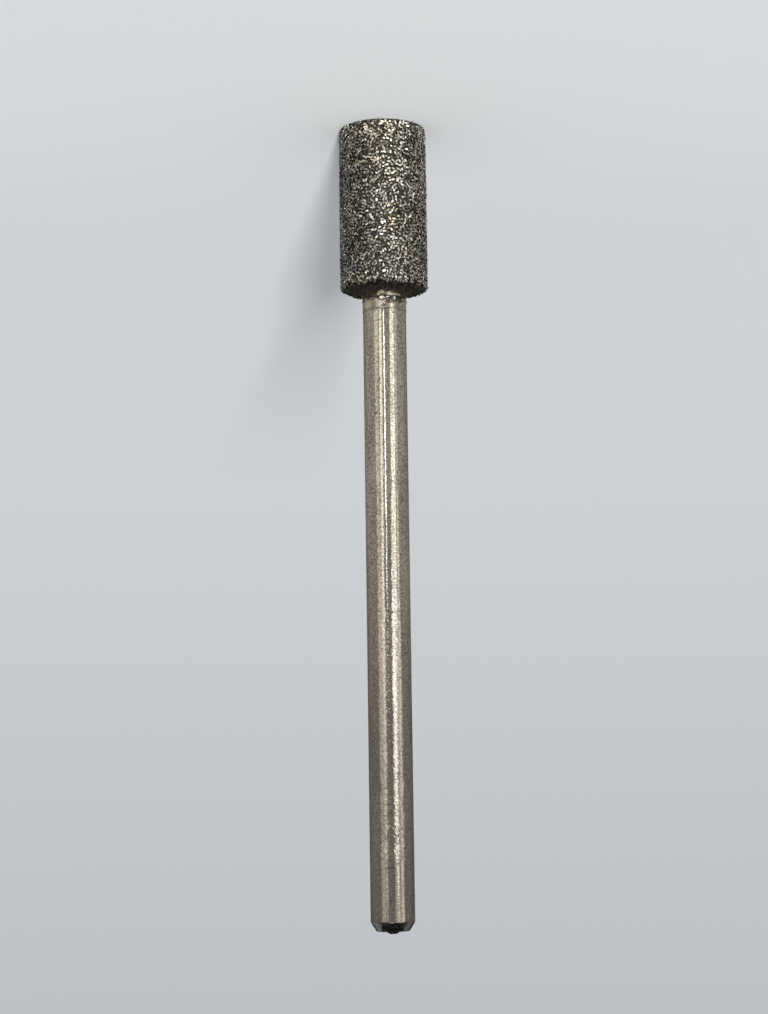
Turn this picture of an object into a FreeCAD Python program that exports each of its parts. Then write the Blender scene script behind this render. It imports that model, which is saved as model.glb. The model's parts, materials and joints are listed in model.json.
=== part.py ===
import FreeCAD, Part
import math
import os
import random
import Sketcher
from FreeCAD import Vector

# Dental bur with a cylindrical diamond head on a straight handpiece shank.
# It stands on the flat end of its head: Z is the axis of the bur, z = 0 is the plane of the grain
# tips on the head's end, and the shank points up. All sizes are in millimetres.
#
# The steel blank is one turned piece: the core under the coat, the neck, the shank with its
# chamfered end and the small pip that parting-off left in the middle of that end.
# The diamond coat is the grit that nickel plating holds on the core: a cup with a faceted skin of
# grains, which wraps the core's end, side and back face, runs thinly down the neck and ends as a
# ragged film on the shank.

DRIVING_SIZES = [
    ("shank_diameter", "2.35", "straight handpiece shank"),
    ("length_to_end_face", "43.24", "from the head's end to the shank's end face"),
    ("shank_chamfer_depth", "0.30", "chamfer at the shank's end, across the axis"),
    ("shank_chamfer_length", "0.43", "chamfer at the shank's end, along the axis"),
    ("shank_edge_rounding", "0.08", "worn edge between the shank and its chamfer"),
    ("pip_diameter", "0.66", "parting-off pip on the shank's end face"),
    ("pip_height", "0.18", "how far the pip stands proud"),
    ("head_diameter", "4.71", "over the tips of the grit"),
    ("head_length", "9.05", "from the head's end to its back face"),
    ("back_edge_rounding", "0.28", "round of the grit at the back edge of the head"),
    ("bond_thickness", "0.11", "nickel between the core and the deepest gap of the grit"),
    ("grit_relief", "0.09", "from the deepest gap to the highest tip of the grit"),
    ("grain_pitch", "0.22", "from one grain to the next"),
    ("core_chamfer", "0.12", "chamfer on both edges of the core"),
    ("neck_fillet", "0.60", "concave fillet between the core and the shank"),
    ("film_thickness", "0.030", "plating that crept onto the shank"),
    ("film_roughness", "0.010", "depth of the marks in that film"),
    ("film_length", "0.57", "from the bead row to the edge of the film"),
    ("bead_size", "0.17", "nickel beads in a row at the foot of the neck, along the axis"),
    ("bead_height", "0.07", "how far the beads stand out of the film"),
]

COAT_THICKNESS = "(Sizes.bond_thickness + Sizes.grit_relief)"
CORE_RADIUS = f"(Sizes.head_diameter / 2 - {COAT_THICKNESS})"
CORE_BACK = f"(Sizes.head_length - {COAT_THICKNESS})"
SHANK_RADIUS = "(Sizes.shank_diameter / 2)"

GRIT_SEED = 7
ROW_SHARE = math.sqrt(3) / 2  # rows of a triangular net, as a share of its pitch
SIDE_STEP_JITTER = 0.5  # how far a grain strays round its ring, as a share of its step
GAP_POWER = 1.5  # above 1, more grains reach the full height than stay low
FOOT_FLAT_SHARE = 0.35  # share of the relief that is ground flat on the head's end
FEWEST_GRAINS = 6  # grains in the innermost ring of the head's end
SEW_TOLERANCE = 1e-5
MATCH_TOLERANCE = 1e-5  # how near an edge must lie to the place where it is looked for

# First guesses for the sketches, which their constraints then pull to the sheet's sizes.
GUESS_CORE_RADIUS = 4
GUESS_SHANK_RADIUS = 2
GUESS_CORE_END = 1
GUESS_CORE_BACK = 8
GUESS_END_FACE = 40
GUESS_PIP_RADIUS = 2
GUESS_PIP_TOP = 41


def make_sheet(doc):
    sheet = doc.addObject("Spreadsheet::Sheet", "Sizes")
    for row, (alias, value, meaning) in enumerate(DRIVING_SIZES, start=1):
        sheet.set(f"A{row}", meaning)
        sheet.set(f"B{row}", value)
        sheet.setAlias(f"B{row}", alias)
    doc.recompute()
    return sheet


def side_sketch(body, name):
    """A sketch on the body's XZ plane: its x is the radius and its y the height."""
    sketch = body.newObject("Sketcher::SketchObject", name)
    plane = next(item for item in body.Origin.OriginFeatures if item.Role == "XZ_Plane")
    sketch.AttachmentSupport = [(plane, "")]
    sketch.MapMode = "FlatFace"
    return sketch


def bind(sketch, constraint, name, expression):
    index = sketch.addConstraint(constraint)
    sketch.renameConstraint(index, name)
    sketch.setExpression(f"Constraints.{name}", expression)


def from_axis(sketch, line, point, name, expression, guess):
    """Fix the distance of a line's end point from the axis of the bur."""
    bind(sketch, Sketcher.Constraint("DistanceX", -1, 1, line, point, guess), name, expression)


def from_foot(sketch, line, point, name, expression, guess):
    """Fix the height of a line's end point over the foot plane."""
    bind(sketch, Sketcher.Constraint("DistanceY", -1, 1, line, point, guess), name, expression)


def revolve(body, sketch, name):
    turned = body.newObject("PartDesign::Revolution", name)
    turned.Profile = sketch
    turned.ReferenceAxis = (sketch, ["V_Axis"])
    turned.Angle = 360
    return turned


def round_edge(feature, radius, height):
    """The name of the feature's circular edge round the axis at this radius and height."""
    for number, edge in enumerate(feature.Shape.Edges, start=1):
        circle = edge.Curve
        if not isinstance(circle, Part.Circle):
            continue
        same_radius = abs(circle.Radius - radius) < MATCH_TOLERANCE
        if same_radius and abs(circle.Center.z - height) < MATCH_TOLERANCE:
            return f"Edge{number}"
    raise RuntimeError(f"{feature.Name} has no round edge of radius {radius} at {height}")


def stepped_profile(body):
    """The blank before its edges are dressed: a stepped half section, closed along the axis."""
    sketch = side_sketch(body, "blank_profile")
    corners = [Vector(0, GUESS_CORE_END, 0), Vector(GUESS_CORE_RADIUS, GUESS_CORE_END, 0),
               Vector(GUESS_CORE_RADIUS, GUESS_CORE_BACK, 0),
               Vector(GUESS_SHANK_RADIUS, GUESS_CORE_BACK, 0),
               Vector(GUESS_SHANK_RADIUS, GUESS_END_FACE, 0), Vector(0, GUESS_END_FACE, 0)]
    count = len(corners)
    for start in range(count):
        sketch.addGeometry(Part.LineSegment(corners[start], corners[(start + 1) % count]))
    for line in range(count):
        sketch.addConstraint(Sketcher.Constraint("Coincident", line, 2, (line + 1) % count, 1))
    end, side, back, shank, top, axis = range(count)
    for line in (end, back, top):
        sketch.addConstraint(Sketcher.Constraint("Horizontal", line))
    for line in (side, shank):
        sketch.addConstraint(Sketcher.Constraint("Vertical", line))
    sketch.addConstraint(Sketcher.Constraint("PointOnObject", end, 1, -2))
    sketch.addConstraint(Sketcher.Constraint("PointOnObject", axis, 1, -2))
    from_axis(sketch, side, 1, "core_radius", CORE_RADIUS, GUESS_CORE_RADIUS)
    from_axis(sketch, shank, 1, "shank_radius", SHANK_RADIUS, GUESS_SHANK_RADIUS)
    from_foot(sketch, side, 1, "core_end", COAT_THICKNESS, GUESS_CORE_END)
    from_foot(sketch, side, 2, "core_back", CORE_BACK, GUESS_CORE_BACK)
    from_foot(sketch, shank, 2, "end_face", "Sizes.length_to_end_face", GUESS_END_FACE)
    return sketch


def pip_profile(body):
    """Half of the pip: a low dome whose arc is centred on the axis."""
    sketch = side_sketch(body, "pip_profile")
    base, rim = Vector(0, GUESS_END_FACE, 0), Vector(GUESS_PIP_RADIUS, GUESS_END_FACE, 0)
    top = Vector(0, GUESS_PIP_TOP, 0)
    slant = (top - rim) / 2
    bulge = Vector(-slant.y, slant.x, 0) / -3
    sketch.addGeometry(Part.LineSegment(base, rim))
    sketch.addGeometry(Part.Arc(rim, rim + slant + bulge, top))
    sketch.addGeometry(Part.LineSegment(top, base))
    seat, arc, axis = range(3)
    sketch.addConstraint(Sketcher.Constraint("Coincident", seat, 2, arc, 1))
    sketch.addConstraint(Sketcher.Constraint("Coincident", arc, 2, axis, 1))
    sketch.addConstraint(Sketcher.Constraint("Coincident", axis, 2, seat, 1))
    sketch.addConstraint(Sketcher.Constraint("Horizontal", seat))
    sketch.addConstraint(Sketcher.Constraint("PointOnObject", seat, 1, -2))
    sketch.addConstraint(Sketcher.Constraint("PointOnObject", axis, 1, -2))
    sketch.addConstraint(Sketcher.Constraint("PointOnObject", arc, 3, -2))
    from_axis(sketch, seat, 2, "pip_radius", "Sizes.pip_diameter / 2", GUESS_PIP_RADIUS)
    from_foot(sketch, seat, 1, "seat_height", "Sizes.length_to_end_face", GUESS_END_FACE)
    tip = "Sizes.length_to_end_face + Sizes.pip_height"
    from_foot(sketch, axis, 1, "tip_height", tip, GUESS_PIP_TOP)
    return sketch


def make_blank(doc, size):
    """The turned steel blank: stepped form, neck fillet, chamfers, worn edges and pip."""
    body = doc.addObject("PartDesign::Body", "Blank")
    body.Label = "shank_blank"
    turned = revolve(body, stepped_profile(body), "turned_form")
    doc.recompute()

    neck = body.newObject("PartDesign::Fillet", "neck_fillet")
    neck.Base = (turned, [round_edge(turned, size.shank_radius, size.core_back)])
    neck.setExpression("Radius", "Sizes.neck_fillet")
    doc.recompute()

    core_edges = body.newObject("PartDesign::Chamfer", "core_edges")
    core_edges.Base = (neck, [round_edge(neck, size.core_radius, size.coat_thickness),
                              round_edge(neck, size.core_radius, size.core_back)])
    core_edges.setExpression("Size", "Sizes.core_chamfer")
    doc.recompute()

    shank_end = body.newObject("PartDesign::Chamfer", "shank_end")
    shank_end.Base = (core_edges, [round_edge(core_edges, size.shank_radius,
                                              size.length_to_end_face)])
    shank_end.ChamferType = "Two distances"
    shank_end.setExpression("Size", "Sizes.shank_chamfer_length")
    shank_end.setExpression("Size2", "Sizes.shank_chamfer_depth")
    doc.recompute()

    worn = body.newObject("PartDesign::Fillet", "worn_edges")
    shoulder = size.length_to_end_face - size.shank_chamfer_length
    face_radius = size.shank_radius - size.shank_chamfer_depth
    worn.Base = (shank_end, [round_edge(shank_end, size.shank_radius, shoulder),
                             round_edge(shank_end, face_radius, size.length_to_end_face)])
    worn.setExpression("Radius", "Sizes.shank_edge_rounding")
    doc.recompute()

    pip = revolve(body, pip_profile(body), "parting_pip")
    body.Tip = pip
    doc.recompute()
    return body


class Size:
    """The sheet's values as numbers, with the few that follow from them."""

    def __init__(self, sheet):
        for alias, _, _ in DRIVING_SIZES:
            setattr(self, alias, float(sheet.get(alias)))
        self.head_radius = self.head_diameter / 2
        self.shank_radius = self.shank_diameter / 2
        self.coat_thickness = self.bond_thickness + self.grit_relief
        self.core_radius = self.head_radius - self.coat_thickness
        self.core_back = self.head_length - self.coat_thickness
        self.neck_top = self.core_back + self.neck_fillet
        self.film_radius = self.shank_radius + self.film_thickness
        self.bead_top = self.neck_top + self.bead_size
        self.film_top = self.bead_top + self.film_length
        self.row_step = self.grain_pitch * ROW_SHARE


class Ring:
    """Where one ring of grains lies on the skin, and how deep the gaps between them go."""

    def __init__(self, radius, height, facing, relief, jitter=SIDE_STEP_JITTER):
        self.radius = radius
        self.height = height
        self.facing = facing
        self.relief = relief
        self.jitter = jitter


def straight(size, start, end, facing, relief):
    """Rings along a straight stretch of the skin's half section, without its first point."""
    count = max(1, round(math.dist(start, end) / size.row_step))
    rings = []
    for step in range(1, count + 1):
        share = step / count
        radius = start[0] + (end[0] - start[0]) * share
        height = start[1] + (end[1] - start[1]) * share
        rings.append(Ring(radius, height, facing, relief))
    return rings


def quarter_count(size, radius):
    return max(2, round(radius * math.pi / 2 / size.row_step))


def back_edge(size):
    """The round from the side to the back face."""
    count = quarter_count(size, size.back_edge_rounding)
    centre_radius = size.head_radius - size.back_edge_rounding
    centre_height = size.head_length - size.back_edge_rounding
    rings = []
    for step in range(1, count + 1):
        turn = math.pi / 2 * step / count
        facing = (math.cos(turn), math.sin(turn))
        rings.append(Ring(centre_radius + size.back_edge_rounding * facing[0],
                          centre_height + size.back_edge_rounding * facing[1],
                          facing, size.grit_relief))
    return rings


def neck(size):
    """The concave neck, where the coat thins from its full thickness to the film."""
    count = quarter_count(size, size.neck_fillet)
    centre_radius = size.shank_radius + size.neck_fillet
    centre_height = size.core_back + size.neck_fillet
    rings = []
    for step in range(1, count + 1):
        share = step / count
        turn = math.pi / 2 * share
        thickness = size.coat_thickness * (1 - share) + size.film_thickness * share
        relief = size.grit_relief * (1 - share) + size.film_roughness * share
        reach = size.neck_fillet - thickness
        facing = (math.sin(turn), math.cos(turn))
        rings.append(Ring(centre_radius - reach * facing[0], centre_height - reach * facing[1],
                          facing, relief))
    return rings


def skin_rings(size):
    """All rings of the skin, from the middle of the foot to the edge of the film."""
    rim = (size.head_radius, 0)
    side_end = (size.head_radius, size.head_length - size.back_edge_rounding)
    face_start = (size.head_radius - size.back_edge_rounding, size.head_length)
    face_end = (size.shank_radius + size.neck_fillet, size.head_length)
    bead_row = (size.film_radius, size.neck_top + size.bead_size / 2)
    rings = straight(size, (0, 0), rim, (0, -1), size.grit_relief)
    rings[-1].facing = (math.sqrt(0.5), -math.sqrt(0.5))
    rings += straight(size, rim, side_end, (1, 0), size.grit_relief)
    rings += back_edge(size)
    rings += straight(size, face_start, face_end, (0, 1), size.grit_relief)
    rings += neck(size)
    rings.append(Ring(*bead_row, (1, 0), -size.bead_height, jitter=0))
    rings.append(Ring(size.film_radius, size.bead_top, (1, 0), size.film_roughness))
    rings += straight(size, (size.film_radius, size.bead_top),
                      (size.film_radius, size.film_top), (1, 0), size.film_roughness)
    rings[-1].relief = 0
    rings[-1].jitter = 0
    return rings


def grain_points(size, ring, chance):
    """The grains of one ring as (angle, point), each at its own depth below the skin.

    A bead row has a negative relief: every second point stands out of the skin instead.
    """
    beads = ring.relief < 0
    count = max(FEWEST_GRAINS, round(2 * math.pi * ring.radius / size.grain_pitch))
    if beads:
        count += count % 2
    shift = chance.random()
    points = []
    for grain in range(count):
        stray = (chance.random() - 0.5) * ring.jitter
        gap = chance.random() ** GAP_POWER * ring.relief
        if beads and grain % 2:
            gap = 0
        angle = 2 * math.pi * (grain + shift + stray) / count
        radius = ring.radius - ring.facing[0] * gap
        height = ring.height - ring.facing[1] * gap
        if ring.facing[1] < 0:
            height = max(0, height - FOOT_FLAT_SHARE * size.grit_relief)
        points.append((angle, Vector(radius * math.cos(angle), radius * math.sin(angle), height)))
    return points


def turn_of(angles, step):
    """The angle of a ring's point after a number of steps, counting on past a full turn."""
    whole, place = divmod(step, len(angles))
    return angles[place] + 2 * math.pi * whole


def stitch(lower, upper):
    """Triangles between two rings of point numbers with their angles, facing outwards."""
    low_ids, low_angles = lower
    high_ids, high_angles = upper
    low_end = len(low_ids) if len(low_ids) > 1 else 0
    high_end = len(high_ids)
    low = high = 0
    triangles = []
    while low < low_end or high < high_end:
        low_next = turn_of(low_angles, low + 1)
        high_next = turn_of(high_angles, high + 1)
        here = low_ids[low % len(low_ids)]
        there = high_ids[high % high_end]
        if high == high_end or (low < low_end and low_next <= high_next):
            low += 1
            triangles.append((here, low_ids[low % low_end], there))
        else:
            high += 1
            triangles.append((here, high_ids[high % high_end], there))
    return triangles


def grit_skin(size):
    """The faceted outer skin, open at the film's edge, and the polygon of that edge."""
    chance = random.Random(GRIT_SEED)
    points = [Vector(0, 0, 0)]
    lower = ([0], [0.0])
    triangles = []
    for ring in skin_rings(size):
        placed = grain_points(size, ring, chance)
        numbers = list(range(len(points), len(points) + len(placed)))
        points += [point for _, point in placed]
        upper = (numbers, [angle for angle, _ in placed])
        triangles += stitch(lower, upper)
        lower = upper
    skin = Part.Shape()
    skin.makeShapeFromMesh((points, triangles), SEW_TOLERANCE, False)
    edge_points = [points[number] for number in lower[0]]
    return skin.Faces, Part.makePolygon(edge_points + edge_points[:1])


def covered_core(blank, size):
    """The faces of the blank that the coat lies on, cut off level with the film's edge."""
    reach = size.head_diameter
    room = Part.makeCylinder(reach, size.film_top)
    core = blank.Shape.common(room)
    return [face for face in core.Faces if face.CenterOfMass.z < size.film_top - SEW_TOLERANCE]


def make_coat(doc, blank, size):
    """The diamond coat: a closed cup between the grit skin and the blank's own surface."""
    skin, edge = grit_skin(size)
    bore = Part.Wire(Part.makeCircle(size.shank_radius, Vector(0, 0, size.film_top)))
    film_edge = Part.makeFace([Part.Wire(edge), bore], "Part::FaceMakerBullseye")
    cup = Part.makeCompound(skin + film_edge.Faces + covered_core(blank, size))
    cup.sewShape(SEW_TOLERANCE)
    coat = doc.addObject("Part::Feature", "Coat")
    coat.Label = "diamond_coat"
    coat.Shape = Part.Solid(cup.Shells[0])
    return coat


def check_document(doc, pieces):
    for item in doc.Objects:
        if "Invalid" in item.State or "Error" in item.State:
            raise RuntimeError(f"{item.Name} failed: {item.State}")
    for piece in pieces:
        if piece.Shape.isNull() or not piece.Shape.isValid():
            raise RuntimeError(f"{piece.Label} has no valid shape")
        if len(piece.Shape.Solids) != 1 or piece.Shape.Volume <= 0:
            raise RuntimeError(f"{piece.Label} isn't one closed solid")


doc = FreeCAD.newDocument("dental_bur")
size = Size(make_sheet(doc))
blank = make_blank(doc, size)
coat = make_coat(doc, blank, size)
doc.recompute()
check_document(doc, [blank, coat])

os.makedirs("parts", exist_ok=True)
for piece in (blank, coat):
    piece.Shape.exportStep(f"parts/{piece.Label}.step")
    print(f"{piece.Label}: {piece.Shape.Volume:.3f} mm3, {len(piece.Shape.Faces)} faces")
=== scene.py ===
import json
import math
import random

import bmesh
import bpy
import numpy as np
from mathutils import Matrix, Vector, noise


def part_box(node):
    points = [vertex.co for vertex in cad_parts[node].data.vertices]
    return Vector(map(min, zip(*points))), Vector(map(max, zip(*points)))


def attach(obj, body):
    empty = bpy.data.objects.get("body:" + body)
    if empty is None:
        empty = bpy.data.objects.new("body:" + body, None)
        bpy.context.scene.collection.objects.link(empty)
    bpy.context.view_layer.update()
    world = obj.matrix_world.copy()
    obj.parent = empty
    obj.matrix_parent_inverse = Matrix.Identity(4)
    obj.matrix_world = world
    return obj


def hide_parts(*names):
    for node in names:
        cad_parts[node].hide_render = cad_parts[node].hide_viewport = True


# Dental bur: a turned steel blank with a cylindrical diamond coat, standing on its head's flat end.
# Places and sizes are written in millimetres and turned into metres by MM. A point on the bur is
# given by its radius and height, or by its turn round the axis, which is counted from the camera's
# side and grows towards the right of the picture.

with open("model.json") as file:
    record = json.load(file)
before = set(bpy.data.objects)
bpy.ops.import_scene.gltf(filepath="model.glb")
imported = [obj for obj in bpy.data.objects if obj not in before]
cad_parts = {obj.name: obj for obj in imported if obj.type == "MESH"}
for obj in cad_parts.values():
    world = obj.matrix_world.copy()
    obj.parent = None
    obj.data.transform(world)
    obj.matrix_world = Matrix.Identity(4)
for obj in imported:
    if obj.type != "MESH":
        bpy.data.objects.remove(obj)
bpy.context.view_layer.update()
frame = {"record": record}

MM = 0.001
FULL_TURN = 2 * math.pi


def box_in_mm(node):
    return [[value / MM for value in corner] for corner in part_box(node)]


coat_low, coat_high = box_in_mm("diamond_coat")
blank_low, blank_high = box_in_mm("shank_blank")
mounts = {mount["name"]: mount for mount in frame["record"]["mounts"]}

HEAD_RADIUS = (coat_high[0] - coat_low[0]) / 2
CORE_RADIUS = (blank_high[0] - blank_low[0]) / 2
SHANK_RADIUS = mounts["shank"]["dims"]["r_mm"]
COAT_THICKNESS = HEAD_RADIUS - CORE_RADIUS
HEAD_BACK = 9.05
CORE_END = blank_low[2]
CORE_BACK = HEAD_BACK - COAT_THICKNESS
CORE_CHAMFER = 0.12
CORE_CORNERS = [(0, CORE_END), (CORE_RADIUS - CORE_CHAMFER, CORE_END),
                (CORE_RADIUS, CORE_END + CORE_CHAMFER), (CORE_RADIUS, CORE_BACK - CORE_CHAMFER),
                (CORE_RADIUS - CORE_CHAMFER, CORE_BACK)]
NECK_FILLET = 0.60
NECK_TOP = CORE_BACK + NECK_FILLET
NECK_CENTRE = (SHANK_RADIUS + NECK_FILLET, NECK_TOP)
OVERALL = blank_high[2]

# Geometry

ON_AXIS = 1e-6  # a point with a smaller radius lies on the axis


def arc(centre, radius, start, end, count):
    """Points of an arc in the half section, from one angle to another, in degrees."""
    points = []
    for step in range(count + 1):
        angle = math.radians(start + (end - start) * step / count)
        points.append((centre[0] + radius * math.cos(angle), centre[1] + radius * math.sin(angle)))
    return points


def spaced(outline, step):
    """The same outline with points no further apart than the step."""
    points = [outline[0]]
    for start, end in zip(outline, outline[1:]):
        count = max(1, math.ceil(math.dist(start, end) / step))
        for part in range(1, count + 1):
            share = part / count
            points.append((start[0] + (end[0] - start[0]) * share,
                           start[1] + (end[1] - start[1]) * share))
    return points


def outline_normals(outline):
    """The outward direction at each point of an outline that runs outwards and then up."""
    normals = []
    for place in range(len(outline)):
        before = outline[max(0, place - 1)]
        after = outline[min(len(outline) - 1, place + 1)]
        along = (after[0] - before[0], after[1] - before[1])
        length = math.hypot(*along)
        normals.append((along[1] / length, -along[0] / length))
    return normals


def band_faces(low, high, segments):
    """The faces between two rows of points, either of which may be one point on the axis."""
    faces = []
    for segment in range(segments):
        after = (segment + 1) % segments
        if len(low) == 1:
            faces.append((low[0], high[after], high[segment]))
        elif len(high) == 1:
            faces.append((low[segment], low[after], high[0]))
        else:
            faces.append((low[segment], low[after], high[after], high[segment]))
    return faces


def turned_piece(name, outline, segments, relief, slide, rough_rows=None):
    """Turn an outline that starts and ends on the axis.

    Each point moves outwards by relief and up by slide. The rows from rough_rows on are the
    inside of a cup, which takes no relief.
    """
    normals = outline_normals(outline)
    if rough_rows is None:
        rough_rows = len(outline)
    else:
        normals[rough_rows - 1] = normals[rough_rows - 2]
    verts, rows, faces = [], [], []
    for number, ((radius, height), normal) in enumerate(zip(outline, normals)):
        off_axis = radius > ON_AXIS
        row = []
        for segment in range(segments if off_axis else 1):
            angle = FULL_TURN * segment / segments
            out = relief(radius, height, angle) if number < rough_rows else 0.0
            up = slide(radius, height, angle)
            far = radius + out * normal[0] if off_axis else 0.0
            row.append(len(verts))
            verts.append((far * math.cos(angle) * MM, far * math.sin(angle) * MM,
                          (height + out * normal[1] + up) * MM))
        rows.append(row)
    for low, high in zip(rows, rows[1:]):
        faces += band_faces(low, high, segments)
    mesh = bpy.data.meshes.new(name)
    mesh.from_pydata(verts, [], faces)
    mesh.shade_smooth()
    return link(name, mesh)


def link(name, data):
    made = bpy.data.objects.new(name, data)
    bpy.context.scene.collection.objects.link(made)
    return made


def ripple(radius, height, angle, size, seed):
    """Smooth noise between about -1 and 1 on a turned surface, with lumps of this size."""
    place = Vector((radius * math.cos(angle), radius * math.sin(angle), height)) / size
    return noise.noise(place + Vector((seed, 0, 0)))


def step_up(value, low, high):
    """0 below low, 1 above high and smooth between."""
    share = min(1.0, max(0.0, (value - low) / (high - low)))
    return share * share * (3 - 2 * share)


# Blank

BLANK_SEGMENTS = 192
SHANK_STEP = 0.25  # between the rows of the shank
END_STEP = 0.06
PIP_OVER = 0.01  # what stands higher than this over the end face is the pip
PIP_HEIGHT = 0.15
PIP_RADIUS = 0.33
PIP_FOOT = 0.15  # the angle at which its dome leaves the end face
PIP_FULLNESS = 0.8  # below 1 the dome is fuller than a ball
PIP_TEAR = 0.035
END_FACE = OVERALL - PIP_HEIGHT
CHAMFER_DEPTH = 0.30
CHAMFER_LENGTH = 0.49
CHAMFER_BULGE = 0.01
CHAMFER_START = END_FACE - CHAMFER_LENGTH
CHAMFER_STEPS = 10
CHAMFER_ROUGH = 0.012
CHAMFER_WAVE = 0.05  # how far its start strays along the shank
WAVE_REACH = 0.2
SHANK_END = CHAMFER_START - 0.05  # the last row of the plain shank
# Height from the chamfer's start, and depth, of the points that round its corner.
CORNER = [(-0.012, 0), (0, 0.001), (0.012, 0.008)]
WORN_EDGE = 0.08  # radius of the worn edge between the chamfer and the end face
SMOOTH_BELOW = coat_high[2] - 1  # what the coat hides is left plain
SHANK_WAVE = 0.0035
WAVE_SQUEEZE = 0.35  # below 1 the waves are longer along the shank
DENT_DEPTH = 0.05
DENT_LEVEL = 0.52  # what stands over it in the noise is a dent


def blank_outline():
    """The turned blank: core, neck fillet, shank, worn chamfer, end face and pip."""
    points = CORE_CORNERS + arc(NECK_CENTRE, NECK_FILLET, 270, 180, count=10)
    points += spaced([points[-1], (SHANK_RADIUS, SHANK_END)], SHANK_STEP)[1:]
    points += [(SHANK_RADIUS - depth, CHAMFER_START + rise) for rise, depth in CORNER]
    for step in range(1, CHAMFER_STEPS):
        share = step / CHAMFER_STEPS
        bulge = CHAMFER_BULGE * math.sin(math.pi * share)
        points.append((SHANK_RADIUS - CHAMFER_DEPTH * share + bulge,
                       CHAMFER_START + CHAMFER_LENGTH * share))
    worn_radius = SHANK_RADIUS - CHAMFER_DEPTH - WORN_EDGE * 0.45
    points += arc((worn_radius, END_FACE - WORN_EDGE), WORN_EDGE, 40, 90, count=4)
    points += spaced([points[-1], (PIP_RADIUS, END_FACE)], END_STEP)[1:]
    for turn in np.linspace(PIP_FOOT, math.pi / 2, 9)[:-1]:
        points.append((PIP_RADIUS * math.cos(turn),
                       END_FACE + PIP_HEIGHT * math.sin(turn) ** PIP_FULLNESS))
    return points + [(0, OVERALL)]


def blank_relief(radius, height, angle):
    """Slight waves and dents in the shank, and a coarser chamfer and a torn pip."""
    if height < SMOOTH_BELOW:
        return 0.0
    if height > END_FACE + PIP_OVER:
        return PIP_TEAR * ripple(radius, height, angle, size=0.16, seed=3)
    if height > CHAMFER_START:
        fine = CHAMFER_ROUGH * ripple(radius, height, angle, size=0.13, seed=5)
        return fine + CHAMFER_ROUGH * ripple(radius, height, angle, size=0.5, seed=6)
    wave = SHANK_WAVE * ripple(radius, height * WAVE_SQUEEZE, angle, size=0.55, seed=7)
    dent = max(0.0, ripple(radius, height, angle, size=0.4, seed=11) - DENT_LEVEL) * DENT_DEPTH
    return wave - dent


def chamfer_slide(radius, height, angle):
    """The chamfer's wavy start."""
    near = max(0.0, 1 - abs(height - CHAMFER_START) / WAVE_REACH)
    return near * CHAMFER_WAVE * ripple(radius, CHAMFER_START, angle, size=0.45, seed=9)


def make_blank():
    blank = turned_piece("turned_blank", blank_outline(), BLANK_SEGMENTS, blank_relief,
                         chamfer_slide)
    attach(blank, "root")
    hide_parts("shank_blank")
    return blank


# Nickel bond

BOND_SEGMENTS = 240
BOND_STEP = 0.065
BOND_DEPTH = 0.05  # the bond's surface under the tips of the grains
NODULE_HEIGHT = 0.008
RIM_WIDTH = 0.13  # the smooth rim of bond round the foot
FOOT_EDGE = 0.12
BACK_EDGE = 0.28
GRITTY_BELOW = HEAD_BACK + 0.02  # from there the bond runs up the neck
NECK_STEPS = 12
RIDGE_HEIGHT = 0.03
FILM = 0.014
FILM_RELIEF = 0.0045
FILM_EDGE = NECK_TOP + 0.74
FILM_STRAY = 0.09  # how far the film's ragged edge strays along the shank
STRAY_REACH = 0.4
FILM_WITHIN = SHANK_RADIUS + 0.1  # what lies further out is the neck's bond


def skin_outline():
    """The coat's outer line through the grain tips, from the foot's middle to the film's edge."""
    points = [(0, 0)]
    points += arc((HEAD_RADIUS - FOOT_EDGE, FOOT_EDGE), FOOT_EDGE, -90, 0, count=4)
    points += arc((HEAD_RADIUS - BACK_EDGE, HEAD_BACK - BACK_EDGE), BACK_EDGE, 0, 90, count=8)
    for step in range(NECK_STEPS + 1):
        share = step / NECK_STEPS
        turn = math.radians(270 - 90 * share)
        reach = NECK_FILLET - COAT_THICKNESS * (1 - share) - FILM * share
        points.append((NECK_CENTRE[0] + reach * math.cos(turn),
                       NECK_CENTRE[1] + reach * math.sin(turn)))
    return points + [(SHANK_RADIUS + FILM, FILM_EDGE)]


def bond_relief(radius, height, angle):
    """Nodules between the grains, a smooth foot rim, ridges round the neck, a nearly even film."""
    if height < GRITTY_BELOW:
        nodules = ripple(radius, height, angle, size=0.11, seed=21)
        from_rim = math.hypot(HEAD_RADIUS - radius, height)
        depth = BOND_DEPTH * step_up(from_rim, 0.5 * RIM_WIDTH, RIM_WIDTH)
        return -depth * (1 - 0.5 * nodules) + NODULE_HEIGHT * nodules
    fade = min(1.0, (height - HEAD_BACK) / (NECK_TOP - HEAD_BACK))
    ridge = RIDGE_HEIGHT * ripple(radius, height, angle, size=0.17, seed=23)
    film = FILM_RELIEF * ripple(radius, height, angle, size=0.16, seed=25)
    return (ridge - 0.3 * BOND_DEPTH) * (1 - fade) + film * fade


def film_slide(radius, height, angle):
    """The film's ragged edge."""
    if radius > FILM_WITHIN or height < FILM_EDGE - STRAY_REACH:
        return 0.0
    near = 1 - (FILM_EDGE - height) / STRAY_REACH
    return near * FILM_STRAY * ripple(radius, FILM_EDGE, angle, size=0.3, seed=27)


def make_bond():
    """The nickel bond as a closed cup: its rough outside, and the blank's surface inside."""
    outside = spaced(skin_outline(), BOND_STEP)
    inside = [(SHANK_RADIUS, FILM_EDGE)] + arc(NECK_CENTRE, NECK_FILLET, 180, 270, count=8)
    inside += CORE_CORNERS[::-1]
    bond = turned_piece("nickel_bond", outside + inside, BOND_SEGMENTS, bond_relief, film_slide,
                        rough_rows=len(outside))
    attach(bond, "root")
    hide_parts("diamond_coat")
    return bond


# Diamond grains

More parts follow.
